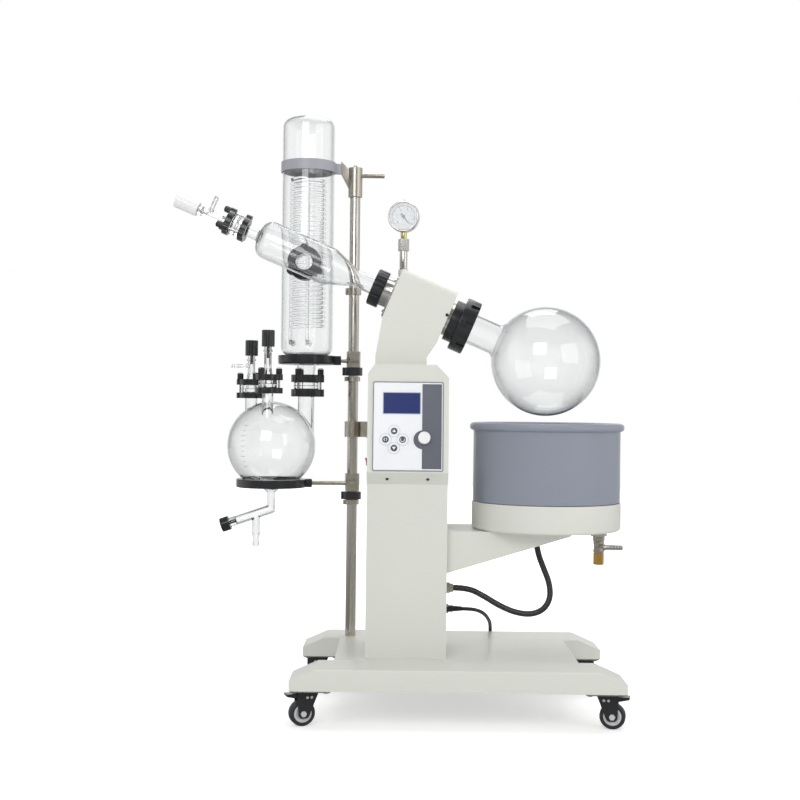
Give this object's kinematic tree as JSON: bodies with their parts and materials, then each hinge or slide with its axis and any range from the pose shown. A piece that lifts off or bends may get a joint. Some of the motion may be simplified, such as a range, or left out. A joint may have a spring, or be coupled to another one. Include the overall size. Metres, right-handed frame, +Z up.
{
  "type": "rotary evaporator",
  "caption": "Floor-standing rotary evaporator with a tilted motor-driven flask, a heated bath on a lifting arm, an upright coil condenser and a receiving flask.",
  "frame": {"origin": "floor level under the centre of the wheeled base", "axes": "+X towards the bath side, +Y to the back of the machine, +Z up"},
  "size_m": [1.1634, 0.701, 1.54],
  "materials": {
    "enamel": "satin powder coat, off-white",
    "zinc_steel": "zinc plated",
    "panel_film": "printed membrane",
    "steel": "brushed stainless",
    "motor_alloy": "cast",
    "ptfe": "matt white",
    "black_plastic": "moulded black",
    "glass": "clear borosilicate",
    "strap_grey": "grey strap",
    "black_rubber": "matt black",
    "pot_grey": "blue-grey coating",
    "brass": "machined",
    "needle_black": "black",
    "white_plastic": "white",
    "red_plastic": "dark red",
    "fork_black": "black",
    "wheel_black": "black tread"
  },
  "bodies": {
    "stand": {"front_beam": "enamel", "rear_beam": "enamel", "deck_plate": "enamel", "caster_plates": "zinc_steel", "column_housing": "enamel", "console_panel": "panel_film", "head_housing": "enamel", "shaft_bearings": "steel", "shaft_seal": "ptfe", "gear_motor": "motor_alloy", "duct_adapter": "steel", "duct_nut": "black_plastic", "vapour_duct": "glass", "clamp_rings": "black_plastic", "clamp_screws": "black_plastic", "valve_bodies": "glass", "condenser_jacket": "glass", "condenser_coil": "glass", "condenser_strap": "strap_grey", "support_pole": "steel", "pole_collars": "black_plastic", "boss_heads": "steel", "condenser_ring": "black_plastic", "flask_ring": "black_plastic", "receiving_flask": "glass", "gauge_body": "steel", "lift_guides": "steel", "column_glands": "black_plastic", "power_cord": "black_rubber", "cord_coil": "black_rubber", "power_plug": "black_rubber", "heater_conduit": "black_rubber"},
    "rotor": {"rotating_flask": "glass", "flask_nut": "black_plastic", "rotor_shaft": "steel"},
    "pinion": {"drive_pinion": "steel"},
    "lift": {"bath_arm": "enamel", "bath_housing": "enamel", "bath_pot": "pot_grey", "bath_heater": "motor_alloy", "lift_carriage": "motor_alloy", "drain_valve": "steel"},
    "drain_tap": {"drain_plug": "brass"},
    "needle": {"gauge_needle": "needle_black"},
    "knob": {"speed_knob": "white_plastic"},
    "rocker": {"power_switch": "red_plastic"},
    "feed_cap": {"feed_valve_cap": "ptfe"},
    "vacuum_cap": {"vacuum_valve_cap": "black_plastic"},
    "release_cap": {"release_valve_cap": "black_plastic"},
    "outlet_cap": {"discharge_cap": "black_plastic"},
    "swivel_front_left": {"caster_fork_front_left": "fork_black"},
    "wheel_front_left": {"caster_wheel_front_left": "wheel_black"},
    "brake_front_left": {"caster_pedal_front_left": "fork_black"},
    "swivel_front_right": {"caster_fork_front_right": "fork_black"},
    "wheel_front_right": {"caster_wheel_front_right": "wheel_black"},
    "brake_front_right": {"caster_pedal_front_right": "fork_black"},
    "swivel_rear_left": {"caster_fork_rear_left": "fork_black"},
    "wheel_rear_left": {"caster_wheel_rear_left": "wheel_black"},
    "swivel_rear_right": {"caster_fork_rear_right": "fork_black"},
    "wheel_rear_right": {"caster_wheel_rear_right": "wheel_black"}
  },
  "joints": [
    {"name": "flask_spin", "type": "hinge", "parent": "stand", "child": "rotor", "pos_m": [0.227, 0, 0.887], "axis": [-0.9205, 0, 0.3907], "continuous": true},
    {"name": "pinion_spin", "type": "hinge", "parent": "stand", "child": "pinion", "pos_m": [-0.13201, 0, 0.96769], "axis": [-0.9205, 0, 0.3907], "continuous": true},
    {"name": "bath_lift", "type": "slide", "parent": "stand", "child": "lift", "axis": [0, 0, 1], "range_m": [0, 0.14], "deforming": ["heater_conduit"]},
    {"name": "drain_turn", "type": "hinge", "parent": "lift", "child": "drain_tap", "pos_m": [0.369, 0, 0.38], "axis": [0, 0, 1], "range_deg": [0, 90]},
    {"name": "needle_swing", "type": "hinge", "parent": "stand", "child": "needle", "pos_m": [-0.141, 0, 1.254], "axis": [-0.1392, -0.9903, 0], "range_deg": [0, 270]},
    {"name": "knob_turn", "type": "hinge", "parent": "stand", "child": "knob", "pos_m": [-0.085, -0.1508, 0.68975], "axis": [0, -0.9914, 0.131], "range_deg": [-135, 135]},
    {"name": "rocker_tilt", "type": "hinge", "parent": "stand", "child": "rocker", "pos_m": [-0.222, -0.146, 0.632], "axis": [0, 1, 0], "range_deg": [0, 16]},
    {"name": "feed_cap_turn", "type": "hinge", "parent": "stand", "child": "feed_cap", "pos_m": [-0.69811, 0, 1.27968], "axis": [-0.9205, 0, 0.3907], "range_deg": [0, 720]},
    {"name": "vacuum_cap_turn", "type": "hinge", "parent": "stand", "child": "vacuum_cap", "pos_m": [-0.546, 0.15, 0.92], "axis": [0, 0, 1], "range_deg": [0, 720]},
    {"name": "release_cap_turn", "type": "hinge", "parent": "stand", "child": "release_cap", "pos_m": [-0.494, 0.075, 0.94], "axis": [0, 0, 1], "range_deg": [0, 720]},
    {"name": "outlet_cap_turn", "type": "hinge", "parent": "stand", "child": "outlet_cap", "pos_m": [-0.61103, 0.15, 0.44633], "axis": [-0.9455, 0, -0.3256], "range_deg": [0, 720]},
    {"name": "swivel_front_left", "type": "hinge", "parent": "stand", "child": "swivel_front_left", "pos_m": [-0.35, -0.213, 0.087], "axis": [0, 0, 1], "continuous": true},
    {"name": "roll_front_left", "type": "hinge", "parent": "swivel_front_left", "child": "wheel_front_left", "pos_m": [-0.37255, -0.22121, 0.031], "axis": [-0.342, 0.9397, 0], "continuous": true},
    {"name": "brake_front_left", "type": "hinge", "parent": "swivel_front_left", "child": "brake_front_left", "pos_m": [-0.37819, -0.22326, 0.072], "axis": [0.342, -0.9397, 0], "range_deg": [0, 12]},
    {"name": "swivel_front_right", "type": "hinge", "parent": "stand", "child": "swivel_front_right", "pos_m": [0.35, -0.213, 0.087], "axis": [0, 0, 1], "continuous": true},
    {"name": "roll_front_right", "type": "hinge", "parent": "swivel_front_right", "child": "wheel_front_right", "pos_m": [0.37348, -0.21799, 0.031], "axis": [-0.2079, -0.9781, 0], "continuous": true},
    {"name": "brake_front_right", "type": "hinge", "parent": "swivel_front_right", "child": "brake_front_right", "pos_m": [0.37934, -0.21924, 0.072], "axis": [0.2079, 0.9781, 0], "range_deg": [0, 12]},
    {"name": "swivel_rear_left", "type": "hinge", "parent": "stand", "child": "swivel_rear_left", "pos_m": [-0.35, 0.213, 0.087], "axis": [0, 0, 1], "continuous": true},
    {"name": "roll_rear_left", "type": "hinge", "parent": "swivel_rear_left", "child": "wheel_rear_left", "pos_m": [-0.37318, 0.21921, 0.031], "axis": [0.2588, 0.9659, 0], "continuous": true},
    {"name": "swivel_rear_right", "type": "hinge", "parent": "stand", "child": "swivel_rear_right", "pos_m": [0.35, 0.213, 0.087], "axis": [0, 0, 1], "continuous": true},
    {"name": "roll_rear_right", "type": "hinge", "parent": "swivel_rear_right", "child": "wheel_rear_right", "pos_m": [0.37255, 0.22121, 0.031], "axis": [0.342, -0.9397, 0], "continuous": true}
  ],
  "couplings": [
    {"joint": "pinion_spin", "follows": "flask_spin", "ratio": -2.6667}
  ]
}
